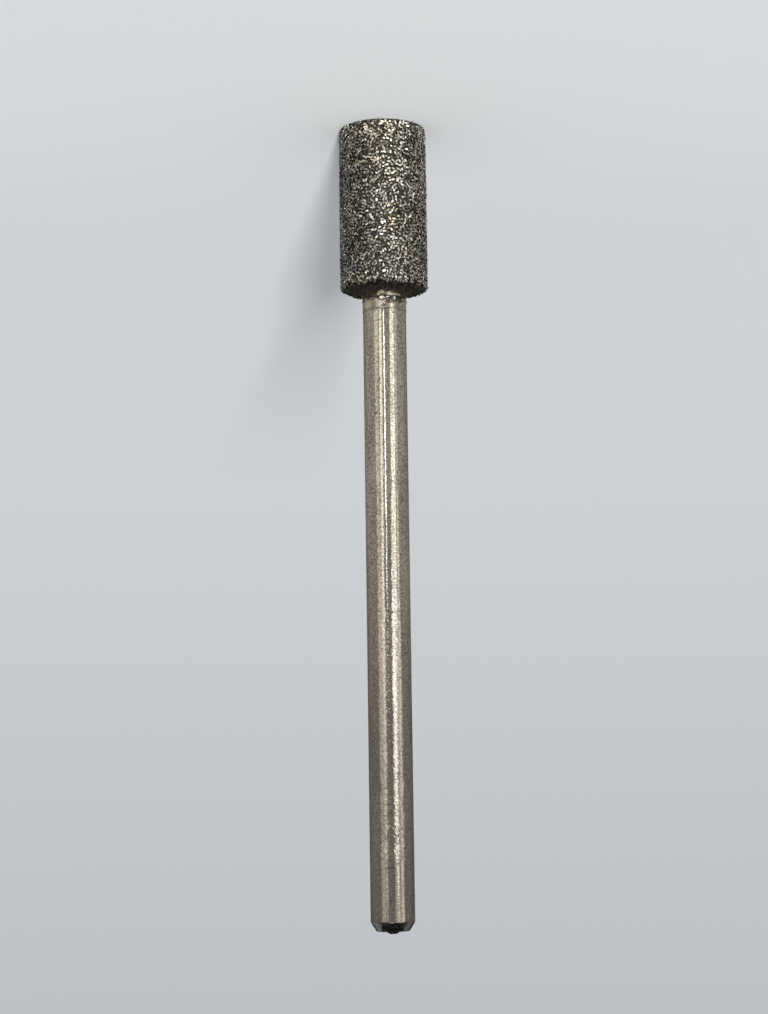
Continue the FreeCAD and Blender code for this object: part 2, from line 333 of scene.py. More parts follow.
GRAIN_SEED = 52
GRAIN_SHAPES = 24
GRAIN_SPACING = 0.142
DARTS_PER_CELL = 9  # tries for each square of the spacing
NEIGHBOURS = [(x, y, z) for x in (-1, 0, 1) for y in (-1, 0, 1) for z in (-1, 0, 1)]
GRAIN_LENGTH = (0.095, 0.15)  # from a grain's middle to its far corners
GRAIN_FORM = Vector((1.0, 0.56, 0.34))
TOP_CORNERS = 5
WAIST_CORNERS = 6
WAIST_STRAY = 0.08
CORNER_STRAY = 0.25  # how far a corner strays round its ring, as a share of its step
CORNER_REACH = (0.85, 1.1)
GRAIN_TOP = (0.72, 0.9)  # a grain's flat top, as a share of its waist
GRAIN_TILT = 0.16
GRAIN_RISE = 0.034  # the tips stand this far over the outline, whose mean they meet
SUNK_MORE = 0.035  # the most that chance sinks a grain
SUNK_POWER = 1.5  # above 1, few grains are sunk that far
LOWEST_MIDDLE = 0.3  # the least height of a grain's middle, as a share of its length
GRAINS_BELOW = HEAD_BACK + 0.1
WAIST_SHADE = 0.26  # painted shade darkens a grain from its top down to the bond
ROOT_SHADE = 0.1
FACING_UP = 0.75  # how far up a normal points where the side ends and the back face starts
# Grains on the back face and on the foot's rim lie deeper and are darker with painted shade, and
# the first are small.
BACK_SIZE = 0.85
BACK_SUNK = 0.03
RIM_SUNK = 0.035
BACK_AND_RIM_PAINTED_SHADE = 0.45


def grain_ring(chance, count, share, height, rise_stray):
    """Corners of an irregular oval ring."""
    start = chance.uniform(0, FULL_TURN)
    ring = []
    for number in range(count):
        stray = chance.uniform(-CORNER_STRAY, CORNER_STRAY)
        turn = start + FULL_TURN * (number + stray) / count
        reach = share * chance.uniform(*CORNER_REACH)
        ring.append((reach * math.cos(turn) * GRAIN_FORM.x, reach * math.sin(turn) * GRAIN_FORM.y,
                     height + chance.uniform(-1, 1) * rise_stray))
    return ring


def grain_shape(chance):
    """Corners, triangles and shades of one blocky flat-topped grain of unit length."""
    shape = bmesh.new()
    top = chance.uniform(*GRAIN_TOP)
    corners = grain_ring(chance, TOP_CORNERS, top, GRAIN_FORM.z, 0.0)
    corners += grain_ring(chance, WAIST_CORNERS, 1.0, 0.0, WAIST_STRAY)
    corners.append((0, 0, -GRAIN_FORM.z))
    for corner in corners:
        shape.verts.new(corner)
    bmesh.ops.convex_hull(shape, input=shape.verts)
    loose = [vert for vert in shape.verts if not vert.link_faces]
    bmesh.ops.delete(shape, geom=loose, context="VERTS")
    bmesh.ops.triangulate(shape, faces=shape.faces)
    shape.verts.index_update()
    corners = np.array([vert.co[:] for vert in shape.verts])
    triangles = np.array([[vert.index for vert in face.verts] for face in shape.faces])
    shape.free()
    # Painted shade: each grain darkens from its top through its waist to its root.
    levels = (-GRAIN_FORM.z, 0.0, GRAIN_FORM.z)
    shades = np.interp(corners[:, 2], levels, (ROOT_SHADE, WAIST_SHADE, 1.0))
    return corners, triangles, shades


def thrown_darts(outline, spacing, chance):
    """Points thrown evenly over a turned outline: place and normal."""
    starts = np.array(outline[:-1])
    ends = np.array(outline[1:])
    lengths = np.linalg.norm(ends - starts, axis=1)
    weights = lengths * (starts[:, 0] + ends[:, 0]) / 2
    darts = int(FULL_TURN * weights.sum() / spacing ** 2 * DARTS_PER_CELL)
    piece = chance.choice(len(lengths), size=darts, p=weights / weights.sum())
    share = chance.random(darts)
    angle = chance.random(darts) * FULL_TURN
    flat = starts[piece] + (ends[piece] - starts[piece]) * share[:, None]
    along = (ends[piece] - starts[piece]) / lengths[piece][:, None]
    normal = np.stack([along[:, 1] * np.cos(angle), along[:, 1] * np.sin(angle), -along[:, 0]], 1)
    place = np.stack([flat[:, 0] * np.cos(angle), flat[:, 0] * np.sin(angle), flat[:, 1]], 1)
    return place, normal


def well_apart(place, spacing):
    """The numbers of the points that stay when none may lie nearer to another than the spacing."""
    cells = {}
    kept = []
    for dart, (x, y, z) in enumerate(np.floor(place / spacing).astype(int).tolist()):
        near = (other for right, back, up in NEIGHBOURS
                for other in cells.get((x + right, y + back, z + up), ()))
        if all(((place[dart] - place[other]) ** 2).sum() >= spacing ** 2 for other in near):
            cells.setdefault((x, y, z), []).append(dart)
            kept.append(dart)
    return kept


def unit(vectors):
    return vectors / np.linalg.norm(vectors, axis=1)[:, None]


def laid(normal, chance):
    """Rotations that lay grains nearly flat on the skin, each pointing its own way."""
    up = unit(normal + chance.normal(size=normal.shape) * GRAIN_TILT)
    along = unit(np.cross(up, chance.normal(size=normal.shape)))
    return np.stack([along, np.cross(up, along), up], axis=2)


SILVER = np.array((0.25, 0.247, 0.222))
GOLD = np.array((0.29, 0.254, 0.19))
PEACH = np.array((0.305, 0.243, 0.194))
# How much gold there is, how far that drifts from place to place, and from grain to grain.
GOLD_MEAN, GOLD_DRIFT, GOLD_CHANCE = 0.22, 0.7, 0.12
# How far the peach among the gold drifts, what is taken off it, and the most that is left.
PEACH_DRIFT, PEACH_LESS, MOST_PEACH = 1.6, 0.1, 0.8
# Turn, height and reach of the warm patches on the camera's side.
WARM_PATCHES = [(-9.6, 2.16, 0.7), (6.7, 0.5, 0.9), (12.9, 5.48, 0.6), (29.0, 7.1, 0.5),
                (-48.0, 8.6, 0.5)]
WARM_GAIN = 0.6
BRIGHT_SHADES = (0.58, 1.38)
DULL_SHADES = (0.12, 0.4)
DULL_SHARE = 0.26
# Painted light: towards both sides of the picture the shades differ less. Turn, reach in degrees,
# and by how much.
CALM_TURN, CALM_REACH, CALM_SHARE = 62, 24, 0.62
CALM_DULL = 0.6  # the shade of a dull grain where all is calm
# Gain and reach of the painted light on the grains at the head's end, and gain, height and reach of
# the brighter grains near its back.
END_LIGHT_GAIN, END_LIGHT_REACH = 0.62, 1.6
BACK_GAIN, BACK_HEIGHT, BACK_REACH = 0.42, 8.5, 0.45


def grain_hues(place, chance):
    """Silver grains, with patches of gold and peach ones."""
    gold = np.array([noise.noise(Vector(spot) * 1.3) for spot in place])
    peach = np.array([noise.noise(Vector(spot) * 1.7 + Vector((9, 0, 0))) for spot in place])
    gold = GOLD_MEAN + gold * GOLD_DRIFT + chance.normal(size=len(place)) * GOLD_CHANCE
    for turn, height, reach in WARM_PATCHES:
        angle = math.radians(turn)
        middle = np.array((-math.sin(angle) * HEAD_RADIUS, -math.cos(angle) * HEAD_RADIUS, height))
        gold += WARM_GAIN * np.exp(-((place - middle) ** 2).sum(axis=1) / reach ** 2)
    gold = np.clip(gold, 0, 1)[:, None]
    peach = np.clip(peach * PEACH_DRIFT - PEACH_LESS, 0, MOST_PEACH)[:, None]
    return SILVER * (1 - gold) + (GOLD * (1 - peach) + PEACH * peach) * gold


def grain_shades(place, chance):
    """How bright each grain is: most are bright and some dull, with painted light at the head's end
    and brighter grains near its back.
    """
    count = len(place)
    turn = np.degrees(np.arctan2(-place[:, 0], -place[:, 1]))
    # Painted light: the shades are evened out towards both sides of the picture.
    calm = CALM_SHARE * np.exp(-((np.abs(turn) - CALM_TURN) / CALM_REACH) ** 2)
    bright = 1 + (chance.uniform(*BRIGHT_SHADES, size=count) - 1) * (1 - calm)
    dull = chance.uniform(*DULL_SHADES, size=count)
    dull += (CALM_DULL - dull) * calm
    # Painted light brightens the grains towards the head's end.
    ends = 1 + END_LIGHT_GAIN * np.exp(-place[:, 2] / END_LIGHT_REACH)
    ends += BACK_GAIN * np.exp(-((place[:, 2] - BACK_HEIGHT) / BACK_REACH) ** 2)
    return ends * np.where(chance.random(count) < DULL_SHARE, dull, bright)


def joined_grains(shapes, kind, size, centre, spin, tint):
    """The corners, triangles and colours of all the grains, one shape after another."""
    verts, triangles, colours = [], [], []
    total = 0
    for number, (corners, faces, shades) in enumerate(shapes):
        mine = np.flatnonzero(kind == number)
        spread = np.einsum("nij,kj->nki", spin[mine], corners) * size[mine][:, None, None]
        spread += centre[mine][:, None, :]
        spread[:, :, 2] = np.maximum(spread[:, :, 2], 0.0)
        verts.append(spread.reshape(-1, 3))
        starts = total + np.arange(len(mine)) * len(corners)
        triangles.append((faces[None, :, :] + starts[:, None, None]).reshape(-1, 3))
        shaded = tint[mine][:, None, :] * shades[None, :, None]
        colours.append(shaded.reshape(-1, 3))
        total += len(mine) * len(corners)
    return np.concatenate(verts), np.concatenate(triangles), np.concatenate(colours)


def make_grains():
    """The diamond grains: flat-topped crystals sunk in the bond, with their tips on the skin."""
    chance = np.random.default_rng(GRAIN_SEED)
    shapes = [grain_shape(chance) for _ in range(GRAIN_SHAPES)]
    outline = [point for point in skin_outline() if point[1] <= GRAINS_BELOW]
    place, normal = thrown_darts(outline, GRAIN_SPACING, chance)
    kept = well_apart(place, GRAIN_SPACING)
    place, normal = place[kept], normal[kept]
    count = len(place)
    behind = normal[:, 2] > FACING_UP
    side = np.abs(normal[:, 2]) < FACING_UP
    rim = side & (place[:, 2] < RIM_WIDTH)
    size = chance.uniform(*GRAIN_LENGTH, size=count)
    size[behind] *= BACK_SIZE
    sunk = size * GRAIN_FORM.z + chance.random(count) ** SUNK_POWER * SUNK_MORE
    sunk[behind] += BACK_SUNK
    sunk[side] -= GRAIN_RISE
    sunk[rim] += RIM_SUNK
    centre = place - normal * sunk[:, None]
    centre[:, 2] = np.maximum(centre[:, 2], size * LOWEST_MIDDLE)
    spin = laid(normal, chance)
    kind = chance.integers(GRAIN_SHAPES, size=count)
    tint = grain_hues(place, chance) * grain_shades(place, chance)[:, None]
    # Painted shade on the grains of the back face and the foot's rim.
    tint[behind | rim] *= BACK_AND_RIM_PAINTED_SHADE
    verts, triangles, colours = joined_grains(shapes, kind, size, centre, spin, tint)
    mesh = bpy.data.meshes.new("diamond_grains")
    mesh.from_pydata((verts * MM).tolist(), [], triangles.tolist())
    attribute = mesh.color_attributes.new("grain_colour", "FLOAT_COLOR", "POINT")
    opaque = np.concatenate([colours, np.ones((len(colours), 1))], axis=1)
    attribute.data.foreach_set("color", opaque.astype(np.float32).ravel())
    mesh.update()
    grains = link("diamond_grains", mesh)
    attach(grains, "root")
    return grains


# Plating beads

BEAD_ROW = NECK_TOP + 0.15
BEAD_COUNT = 20
BEAD_SPREAD = 0.25  # how far a bead strays round the row, as a share of its step
# Place across the shank as a share of its radius, width and height of the beads seen in front.
FRONT_BEADS = [(-0.115, 0.34, 0.2), (0.17, 0.23, 0.1), (0.46, 0.18, 0.17)]
FRONT_GAP = 0.25  # no other bead lies nearer to those, in radians
BEAD_WIDTH = (0.12, 0.2)
BEAD_HEIGHT = (0.07, 0.12)
BEAD_PROUD = (0.035, 0.055)
BEAD_STRAY = 0.025
BEAD_TILT = 0.3
BEAD_LUMPS = 0.012


def bead_sizes():
    """Turn, width and height of each bead: three listed on the camera's side, the rest even."""
    chance = random.Random(5)
    beads = [(math.asin(share), wide, tall) for share, wide, tall in FRONT_BEADS]
    first, last = beads[0][0], beads[-1][0]
    for number in range(BEAD_COUNT):
        stray = chance.uniform(-BEAD_SPREAD, BEAD_SPREAD)
        turn = FULL_TURN * (number + stray) / BEAD_COUNT - math.pi
        if not first - FRONT_GAP < turn < last + FRONT_GAP:
            beads.append((turn, chance.uniform(*BEAD_WIDTH), chance.uniform(*BEAD_HEIGHT)))
    return beads


def make_beads():
    """The row of nickel beads at the foot of the neck."""
    chance = random.Random(6)
    mesh = bmesh.new()
    for turn, wide, tall in bead_sizes():
        proud = chance.uniform(*BEAD_PROUD)
        height = BEAD_ROW + chance.uniform(-BEAD_STRAY, BEAD_STRAY)
        put = Matrix.Rotation(-math.pi / 2 - turn, 4, "Z")
        put = put @ Matrix.Translation((SHANK_RADIUS + FILM * 0.5, 0, height))
        put = put @ Matrix.Rotation(chance.uniform(-BEAD_TILT, BEAD_TILT), 4, "X")
        put = put @ Matrix.Diagonal((proud, wide / 2, tall / 2, 1))
        made = bmesh.ops.create_icosphere(mesh, subdivisions=3, radius=1, matrix=put)
        for vert in made["verts"]:
            vert.co *= 1 + BEAD_LUMPS * noise.noise(vert.co * 11)
    bmesh.ops.scale(mesh, vec=(MM, MM, MM), verts=mesh.verts)
    data = bpy.data.meshes.new("plating_beads")
    mesh.to_mesh(data)
    mesh.free()
    data.shade_smooth()
    beads = link("plating_beads", data)
    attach(beads, "root")
    return beads


# Materials


class Shading:
    """Adds nodes to one node tree; each call returns the output to wire on."""

    def __init__(self, tree):
        self.tree = tree

    def fill(self, node, inputs):
        """Wire each output to its socket, and write each plain value on the socket itself."""
        for socket, value in inputs.items():
            if isinstance(value, bpy.types.NodeSocket):
                self.tree.links.new(value, node.inputs[socket])
            else:
                node.inputs[socket].default_value = value

    def node(self, kind, inputs=None, output=0, **settings):
        made = self.tree.nodes.new(kind)
        for name, value in settings.items():
            setattr(made, name, value)
        self.fill(made, inputs or {})
        return made.outputs[output]

    def place(self):
        """The object's own coordinates in millimetres."""
        spot = self.node("ShaderNodeTexCoord", output="Object")
        return self.node("ShaderNodeVectorMath", {0: spot, "Scale": 1 / MM}, operation="SCALE")

    def axes(self, vector):
        """The X, Y and Z of a vector."""
        return self.node("ShaderNodeSeparateXYZ", {0: vector}).node.outputs

    def stretch(self, vector, scale):
        return self.node("ShaderNodeVectorMath", {0: vector, 1: scale}, operation="MULTIPLY")

    def noise(self, vector, scale=1.0, detail=2.0, roughness=0.5):
        return self.node("ShaderNodeTexNoise", {"Vector": vector, "Scale": scale,
                                                "Detail": detail, "Roughness": roughness})

    def range(self, value, low, high, new_low=0.0, new_high=1.0, smooth=True):
        kind = "SMOOTHSTEP" if smooth else "LINEAR"
        return self.node("ShaderNodeMapRange", {0: value, 1: low, 2: high, 3: new_low,
                                                4: new_high}, interpolation_type=kind)

    def patches(self, vector, low, high, *levels, **settings):
        """Noise that runs from 0 where it is low to 1 where it is high, or between two levels."""
        return self.range(self.noise(vector, **settings), low, high, *levels)

    def math(self, operation, first, second=0.0):
        return self.node("ShaderNodeMath", {0: first, 1: second}, operation=operation)

    def add(self, first, second):
        return self.math("ADD", first, second)

    def times(self, first, second):
        return self.math("MULTIPLY", first, second)

    def most(self, first, second):
        return self.math("MAXIMUM", first, second)

    def mix(self, share, first, second):
        """A blend of two colours, each an output or three numbers."""
        first, second = (rgba(colour) if isinstance(colour, tuple) else colour
                         for colour in (first, second))
        return self.node("ShaderNodeMix", {0: share, 6: first, 7: second}, output=2,
                         data_type="RGBA")

    def turn_and_height(self, place):
        """The turn round the axis in degrees, 0 on the camera's side, and the height."""
        axes = self.axes(place)
        turn = self.math("ARCTAN2", self.times(axes["X"], -1.0), self.times(axes["Y"], -1.0))
        return self.times(turn, math.degrees(1)), axes["Z"]

    def spots(self, place, rows):
        """For each row an oval mark, 1 inside and 0 outside, whose edge follows the noise."""
        turn, height = self.turn_and_height(place)
        stray = self.patches(place, 0.3, 0.7, -0.5, 0.5, scale=9)
        for (middle, level), (half_width, half_height) in rows:
            across = self.times(self.math("SUBTRACT", turn, middle), 1 / half_width)
            along = self.times(self.math("SUBTRACT", height, level), 1 / half_height)
            away = self.add(self.times(across, across), self.times(along, along))
            yield self.range(self.add(away, stray), 1.5, 0.6)

    def bump(self, height, distance):
        return self.node("ShaderNodeBump", {"Height": height, "Distance": distance * MM,
                                            "Strength": 1.0})


def rgba(colour):
    return (*colour, 1.0)


def new_material(name):
    material = bpy.data.materials.new(name)
    material.use_nodes = True
    tree = material.node_tree
    return material, Shading(tree), tree.nodes["Principled BSDF"]


# Steel

# Pairs of a dark and a pale colour, which the mottle mixes.
CLEAN_STEEL = ((0.25, 0.221, 0.172), (0.655, 0.593, 0.483))
TARNISH = ((0.25, 0.218, 0.178), (0.42, 0.372, 0.305))
PURPLE = ((0.25, 0.205, 0.185), (0.38, 0.338, 0.30))
MARK = (0.1, 0.085, 0.07)
FILM_LINE_DARK = (0.09, 0.075, 0.06)
CUT_END = (0.27, 0.264, 0.247)
# Painted shade: the pip is near black.
PIP_PAINTED_SHADE = (0.08, 0.078, 0.074)
# Turn and height, then half width in degrees and half height of the dark marks on the shank.
SHANK_MARKS = [((-26.8, 15.91), (5.0, 0.06)), ((-1.7, 26.56), (3.5, 0.06)),
               ((24.5, 10.41), (5.0, 0.035)), ((-8.0, 39.97), (15.0, 0.025))]
RASP_SLANT = -0.85
# Heights between which the shank's finish changes from one kind to the next.
SPECKLED = (10, 15)
TARNISHED = (18, 36)
COARSER = (22, 31)
RASP_STARTS = (35.5, 37.5)
RASP_STOPS = (41, 39)
CALMER_END = (39.3, 40.3)


def steel_mottle(shading, place, height):
    """Dull to clean steel: mottled, veined along the shank, and speckled away from the film."""
    mottle = shading.patches(place, 0.32, 0.66, scale=8.0, detail=4, roughness=0.7)
    veins = shading.patches(shading.stretch(place, (2.2, 2.2, 0.22)), 0.35, 0.65, -0.22, 0.22,
                            detail=3, roughness=0.55)
    specks = shading.patches(place, 0.35, 0.65, -0.53, 0.53, scale=13.0, roughness=0.6)
    specks = shading.times(specks, shading.range(height, *SPECKLED, 0.4, 1.0))
    return shading.add(shading.add(mottle, veins), specks)


def steel_marks(shading, place):
    """Pits, thin rings round the shank and the dark marks."""
    pits = shading.patches(place, 0.67, 0.73, scale=7.5)
    rings = shading.patches(shading.stretch(place, (0.55, 0.55, 16.0)), 0.68, 0.74)
    marks = shading.most(pits, shading.times(rings, 0.6))
    for spot in shading.spots(place, SHANK_MARKS):
        marks = shading.most(marks, spot)
    return marks


def dark_film_line(shading, place, edge):
    """A broken dark line along the film's edge."""
    line = shading.math("SUBTRACT", shading.range(edge, FILM_EDGE - 0.02, FILM_EDGE + 0.02),
                        shading.range(edge, FILM_EDGE + 0.04, FILM_EDGE + 0.12))
    return shading.times(line, shading.patches(place, 0.42, 0.56, 0.15, 0.9, scale=2.2))


def steel_relief(shading, place, height, worn_end):
    """Orange peel that coarsens down the picture, torn rasp marks near the end, and scratches."""
    grain = shading.noise(place, scale=6.0, detail=3, roughness=0.65)
    lumps = shading.noise(place, scale=3.2)
    lower = shading.range(height, *COARSER)
    lumps = shading.add(shading.times(lumps, 0.5),
                        shading.times(grain, shading.range(lower, 0, 1, 0.36, 1.6)))
    slanted = shading.node("ShaderNodeVectorRotate", {"Vector": place, "Angle": RASP_SLANT},
                           rotation_type="Y_AXIS")
    rasp = shading.noise(shading.stretch(slanted, (1.6, 3.0, 8.0)))
    rasp = shading.times(rasp, shading.range(worn_end, 0.0, 0.6, 0.0, 1.3))
    rasped = shading.times(shading.range(height, *RASP_STARTS),
                           shading.range(height, *RASP_STOPS))
    rasp = shading.times(rasp, shading.range(rasped, 0, 1, 0.7, 1.5))
    rasp = shading.times(rasp, shading.patches(place, 0.42, 0.58, 0.25, 1.25, scale=0.9))
    lumps = shading.add(lumps, rasp)
    lumps = shading.times(lumps, shading.range(height, *CALMER_END, 1.0, 0.25))
    scratch = shading.noise(shading.stretch(place, (0.7, 0.7, 14.0)), detail=3, roughness=0.6)
    return shading.add(lumps, shading.times(scratch, 0.3))


def steel_material():
    """Worn plated steel: warm, tarnished brown and purple, speckled, scratched round the shank."""
    material, shading, shader = new_material("worn_steel")
    place = shading.place()
    height = shading.axes(place)["Z"]
    worn_end = shading.range(height, *TARNISHED)
    stain = shading.patches(shading.stretch(place, (0.6, 0.6, 0.2)), 0.4, 0.65, detail=4,
                            roughness=0.6)
    mottle = steel_mottle(shading, place, height)
    tarnish = shading.mix(stain, shading.mix(mottle, *TARNISH), shading.mix(mottle, *PURPLE))
    share = shading.most(worn_end, shading.times(stain, 0.22))
    base = shading.mix(share, shading.mix(mottle, *CLEAN_STEEL), tarnish)
    base = shading.mix(steel_marks(shading, place), base, MARK)
    edge = shading.add(height, shading.patches(place, 0.35, 0.65, -0.03, 0.03, scale=6))
    base = shading.mix(dark_film_line(shading, place, edge), base, FILM_LINE_DARK)
    end = shading.range(edge, CHAMFER_START - 0.07, CHAMFER_START - 0.03)
    base = shading.mix(end, base, CUT_END)
    # Painted shade on the pip.
    pip = shading.range(height, END_FACE + 0.02, END_FACE + 0.04)
    base = shading.mix(pip, base, PIP_PAINTED_SHADE)
    rough = shading.add(shading.range(mottle, 0, 1, 0.1, 0.06), shading.times(end, 0.1))
    rough = shading.add(rough, shading.times(worn_end, 0.02))
    relief = steel_relief(shading, place, height, worn_end)
    shading.fill(shader, {"Base Color": base, "Roughness": rough, "Metallic": 1.0,
                          "Specular Tint": rgba((0.5, 0.5, 0.5)),
                          "Normal": shading.bump(relief, 0.007)})
    return material


# Nickel and diamond

# Pairs of a dark and a pale colour, which the mottle mixes.
# Painted shade: the bond between the grains is near black.
SHADED_GAP_BOND = ((0.012, 0.0115, 0.01), (0.042, 0.04, 0.035))
# Painted shade: the bond from the back face up the neck is dark brown.
SHADED_BACK_BOND = ((0.026, 0.021, 0.017), (0.1, 0.082, 0.067))
GILT_AND_HIGHLIGHT_BOND = ((0.23, 0.203, 0.148), (0.46, 0.42, 0.32))
FILM_BOND = ((0.28, 0.25, 0.2), (0.48, 0.432, 0.35))
# Painted shade: a dark band along the bead row.
BEAD_ROW_SHADE = (0.03, 0.026, 0.02)
# Marks on the neck and film on the camera's side, measured as those on the shank. The gilt marks
# are painted highlights on the neck's warm nickel.
GILT_HIGHLIGHTS = [((-7.6, 9.32), (7.5, 0.1)), ((-15.0, 9.38), (4.0, 0.08)), ((15.4, 9.38), (12.0, 0.085)),
        ((33.0, 9.42), (14.0, 0.055)), ((4.0, 9.41), (8.0, 0.03))]
# The narrow bright mark at 19.5 degrees is a painted highlight, where the shank mirrors
# strip_right.
FILM_BRIGHT = [((19.5, 9.98), (2.6, 0.24)), ((-52.0, 9.95), (12.0, 0.2))]
FILM_BROWN = [((-32.0, 9.66), (10.0, 0.12)), ((40.0, 10.02), (8.0, 0.2)),
              ((-60.0, 9.56), (16.0, 0.06)), ((-28.0, 10.16), (12.0, 0.06)),
              ((-28.0, 9.95), (6.0, 0.2)), ((7.0, 9.9), (6.0, 0.26)),
              ((29.5, 9.9), (7.0, 0.3)), ((2.5, 9.78), (4.0, 0.16)), ((13.5, 9.92), (3.0, 0.2))]
FILM_DARK = [((-6.3, 9.63), (10.5, 0.155)), ((-2.3, 10.04), (6.5, 0.11)),
             ((30.5, 10.22), (5.0, 0.03)), ((51.9, 10.06), (4.0, 0.05)),
             ((17.0, 9.76), (13.0, 0.14)), ((3.5, 9.67), (5.0, 0.09)), ((44.0, 9.7), (18.0, 0.15))]
# The film's marks in the order in which they lie on each other, with their colour and strength.
FILM_MARKS = [(FILM_BRIGHT, (0.6, 0.555, 0.47), 0.6), (FILM_BROWN, (0.16, 0.125, 0.1), 0.6),
              (FILM_DARK, (0.035, 0.035, 0.028), 0.85)]
# Bead colours by their turn, with painted light and shade: lit in front, shaded a little aside, and
# darker round the back.
LIT_FRONT_BEAD = ((0.48, 0.4, 0.31), (0.78, 0.69, 0.57))
SHADED_SIDE_BEAD = (0.38, 0.37, 0.34)
SHADED_FAR_BEAD = (0.22, 0.2, 0.17)


def bond_colour(shading, place, height, turn):
    """Painted shade between the grains, on the back face and along the bead row; gold neck with
    painted highlights; beige film.
    """
    edge = shading.add(height, shading.patches(place, 0.3, 0.7, -0.05, 0.05, scale=5, detail=3,
                                               roughness=0.6))
    mottle = shading.patches(place, 0.35, 0.65, scale=8, detail=3, roughness=0.6)
    # Painted shade: near black between the grains, dark brown from the back face on.
    base = shading.mix(shading.range(edge, HEAD_BACK - 0.12, HEAD_BACK - 0.02),
                       shading.mix(mottle, *SHADED_GAP_BOND), shading.mix(mottle, *SHADED_BACK_BOND))
    gilt_and_highlight = shading.patches(place, 0.48, 0.58, 0.0, 0.75, scale=1.1)
    gilt_and_highlight = shading.times(gilt_and_highlight, shading.range(shading.math("ABSOLUTE", turn), 80, 110))
    gilt_and_highlight = shading.times(gilt_and_highlight, shading.range(edge, NECK_TOP - 0.2, NECK_TOP - 0.13))
    # Painted highlights on the neck's camera side join the gilt patches round the back.
    for spot in shading.spots(place, GILT_HIGHLIGHTS):
        gilt_and_highlight = shading.most(gilt_and_highlight, spot)
    base = shading.mix(gilt_and_highlight, base, shading.mix(mottle, *GILT_AND_HIGHLIGHT_BOND))
    # Painted shade along the bead row.
    base = shading.mix(shading.range(edge, BEAD_ROW - 0.13, BEAD_ROW - 0.09), base, BEAD_ROW_SHADE)
    base = shading.mix(shading.range(edge, BEAD_ROW + 0.02, BEAD_ROW + 0.1), base,
                       shading.mix(mottle, *FILM_BOND))
    for rows, colour, strength in FILM_MARKS:
        for spot in shading.spots(place, rows):
            base = shading.mix(shading.times(spot, strength), base, colour)
    return base


def bond_material():
    """Nickel, rough between the grains and smoother on the neck and film."""
    material, shading, shader = new_material("nickel_bond")
    place = shading.place()
    turn, height = shading.turn_and_height(place)
    clean = shading.range(height, NECK_TOP - 0.2, NECK_TOP)
    grain = shading.noise(place, scale=12, detail=3, roughness=0.6)
    grain = shading.times(grain, shading.range(clean, 0, 1, 1.0, 0.45))
    shading.fill(shader, {"Base Color": bond_colour(shading, place, height, turn),
                          "Roughness": shading.range(clean, 0, 1, 0.5, 0.2), "Metallic": 0.85,
                          "Specular Tint": rgba((0.5, 0.46, 0.4)),
                          "Normal": shading.bump(grain, 0.012)})
    return material


def grain_material():
    """Diamond grains, partly skinned with nickel: each has its own colour."""
    material, shading, shader = new_material("diamond_grain")
    place = shading.place()
    colour = shading.node("ShaderNodeVertexColor", output="Color", layer_name="grain_colour")
    dirt = shading.patches(place, 0.3, 0.6, 0.6, 1.1, scale=7, detail=3, roughness=0.6)
    tinted = shading.node("ShaderNodeVectorMath", {0: colour, "Scale": dirt}, operation="SCALE")
    shading.fill(shader, {"Base Color": tinted,
                          "Roughness": shading.patches(place, 0.3, 0.7, 0.3, 0.45, scale=10),
                          "Metallic": 0.8, "Specular IOR Level": 0.15,
                          "Specular Tint": rgba((0.08, 0.08, 0.075)),
                          "Normal": shading.bump(shading.noise(place, scale=20), 0.003)})
    return material


def bead_material():
    """Bright warm nickel with dull patches, and painted shade darkening the beads aside and round
    the back.
    """
    material, shading, shader = new_material("nickel_bead")
    place = shading.place()
    mottle = shading.patches(place, 0.35, 0.6, scale=7, detail=3, roughness=0.6)
    turn = shading.math("ABSOLUTE", shading.turn_and_height(place)[0])
    # Painted shade: the beads darken aside and more round the back.
    base = shading.mix(shading.range(turn, 8, 14), shading.mix(mottle, *LIT_FRONT_BEAD), SHADED_SIDE_BEAD)
    base = shading.mix(shading.range(turn, 32, 44), base, SHADED_FAR_BEAD)
    shading.fill(shader, {"Base Color": base, "Roughness": 0.3, "Metallic": 0.45,
                          "Normal": shading.bump(shading.noise(place, scale=12), 0.01)})
    return material


# Camera

CAMERA_HEIGHT = 35.85
CAMERA_DISTANCE = 113.41
CAMERA_PITCH = 7.53  # degrees below the horizon
CAMERA_YAW = 0.087  # degrees towards +X
CAMERA_ROLL = 179.21  # degrees: the head is at the top of the picture
CAMERA_CLIP = (10, 3000)
SENSOR = 36.0
LENS = 75.55


def make_camera():
    lens = bpy.data.cameras.new("camera")
    lens.sensor_width = SENSOR
    lens.lens = LENS
    lens.clip_start, lens.clip_end = (CAMERA_CLIP[0] * MM, CAMERA_CLIP[1] * MM)
    pitch, yaw, roll = (math.radians(value) for value in (CAMERA_PITCH, CAMERA_YAW, CAMERA_ROLL))
    forward = Vector((math.sin(yaw) * math.cos(pitch), math.cos(yaw) * math.cos(pitch),
                      -math.sin(pitch)))
    level = forward.cross(Vector((0, 0, 1))).normalized()
    upright = level.cross(forward)
    right = math.cos(roll) * level + math.sin(roll) * upright
    up = right.cross(forward)
    camera = link("camera", lens)
    place = Matrix((right, up, -forward)).transposed().to_4x4()
    place.translation = Vector((0, -CAMERA_DISTANCE, CAMERA_HEIGHT)) * MM
    camera.matrix_world = place
    bpy.context.scene.camera = camera


# Lights

STRIP_DISTANCE = 200
CARD_DISTANCE = 250
WARM = (1.0, 0.98, 0.93)
COOL = (0.94, 0.98, 1.0)
CLEAR = (1.0, 0.99, 0.95)
CREAM = (1.0, 0.98, 0.94)
SKY = (0.95, 0.98, 1.0)
LINE = (0.88, 0.95, 1.0)
